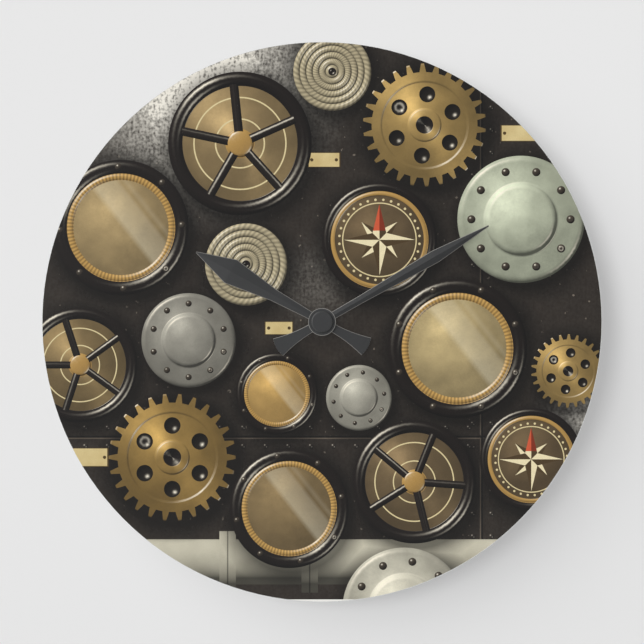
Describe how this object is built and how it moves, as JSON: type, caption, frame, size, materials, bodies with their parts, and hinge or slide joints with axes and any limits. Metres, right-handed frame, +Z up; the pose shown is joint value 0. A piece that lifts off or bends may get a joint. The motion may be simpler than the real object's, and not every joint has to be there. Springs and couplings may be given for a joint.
{
  "type": "wall clock",
  "caption": "Round frameless wall clock: printed acrylic disc, two dark hands and a battery quartz movement with setting knob and hanger behind it.",
  "frame": {"origin": "on the axis of the hands, in the plane of the wall", "axes": "+X to the right seen from the front, +Y from the clock into the wall, +Z up towards twelve o'clock"},
  "size_m": [0.273, 0.0318, 0.273],
  "materials": {
    "acrylic": "clear cast acrylic with polished edge",
    "printed_film": "glossy print",
    "brass": "turned",
    "rubber": "matt",
    "zinc_plated_steel": "zinc plated",
    "black_plastic": "fine moulded texture",
    "ivory_plastic": "moulded",
    "dark_hands": "dark satin lacquer",
    "spring_steel": "bright",
    "sintered_magnet": "ground",
    "soft_iron": "punched",
    "copper": "lacquered wire",
    "board_laminate": "solder mask",
    "black_resin": "cast resin",
    "cell": "nickel plated",
    "cell_sleeve": "shrink film"
  },
  "bodies": {
    "clock_body": {"face_disc": "acrylic", "printed_face": "printed_film", "dial_washer": "brass", "hex_nut": "brass", "rubber_washer": "rubber", "hanger_bracket": "zinc_plated_steel", "movement_rear_housing": "black_plastic", "movement_front_cover": "black_plastic", "train_bridge": "ivory_plastic", "stator": "soft_iron", "coil_core": "soft_iron", "coil_bobbin": "ivory_plastic", "coil_winding": "copper", "circuit_board": "board_laminate", "control_chip": "black_resin", "quartz_crystal": "spring_steel", "contact_positive": "spring_steel", "contact_negative": "spring_steel"},
    "minute_train": {"minute_arbor": "brass", "clutch_spring": "spring_steel", "minute_hand": "dark_hands", "hand_cap_nut": "dark_hands"},
    "hour_train": {"hour_wheel": "ivory_plastic", "hour_hand": "dark_hands"},
    "setting_train": {"motion_wheel": "ivory_plastic", "setting_knob": "black_plastic"},
    "rotor_train": {"rotor_magnet": "sintered_magnet", "rotor_pinion": "ivory_plastic"},
    "fifth_train": {"fifth_wheel": "ivory_plastic"},
    "second_train": {"second_wheel": "ivory_plastic", "second_arbor": "spring_steel"},
    "third_train": {"third_wheel": "ivory_plastic"},
    "centre_train": {"centre_wheel": "ivory_plastic"},
    "cell": {"battery_can": "cell", "battery_sleeve": "cell_sleeve"}
  },
  "joints": [
    {"name": "minute_spin", "type": "hinge", "parent": "clock_body", "child": "minute_train", "pos_m": [0, 0, 0], "axis": [0, 1, 0], "continuous": true},
    {"name": "hour_spin", "type": "hinge", "parent": "clock_body", "child": "hour_train", "pos_m": [0, 0, 0], "axis": [0, 1, 0], "continuous": true},
    {"name": "setting_spin", "type": "hinge", "parent": "clock_body", "child": "setting_train", "pos_m": [0.01083, 0, 0.00394], "axis": [0, 1, 0], "continuous": true},
    {"name": "rotor_spin", "type": "hinge", "parent": "clock_body", "child": "rotor_train", "pos_m": [0.00527, 0, 0.01829], "axis": [0, 1, 0], "continuous": true},
    {"name": "fifth_spin", "type": "hinge", "parent": "clock_body", "child": "fifth_train", "pos_m": [0.00095, 0, 0.01081], "axis": [0, 1, 0], "continuous": true},
    {"name": "second_spin", "type": "hinge", "parent": "clock_body", "child": "second_train", "pos_m": [0, 0, 0], "axis": [0, 1, 0], "continuous": true},
    {"name": "third_spin", "type": "hinge", "parent": "clock_body", "child": "third_train", "pos_m": [-0.00935, 0, 0.0054], "axis": [0, 1, 0], "continuous": true},
    {"name": "centre_spin", "type": "hinge", "parent": "clock_body", "child": "centre_train", "pos_m": [0, 0, 0], "axis": [0, 1, 0], "continuous": true},
    {"name": "battery_slide", "type": "slide", "parent": "clock_body", "child": "cell", "axis": [0, 1, 0], "range_m": [0, 0.03]}
  ],
  "couplings": [
    {"joint": "hour_spin", "follows": "minute_spin", "ratio": 0.083333},
    {"joint": "setting_spin", "follows": "minute_spin", "ratio": -0.33333},
    {"joint": "fifth_spin", "follows": "rotor_spin", "ratio": -0.2},
    {"joint": "second_spin", "follows": "rotor_spin", "ratio": 0.033333},
    {"joint": "third_spin", "follows": "rotor_spin", "ratio": -0.0044444},
    {"joint": "centre_spin", "follows": "rotor_spin", "ratio": 0.00055556}
  ]
}
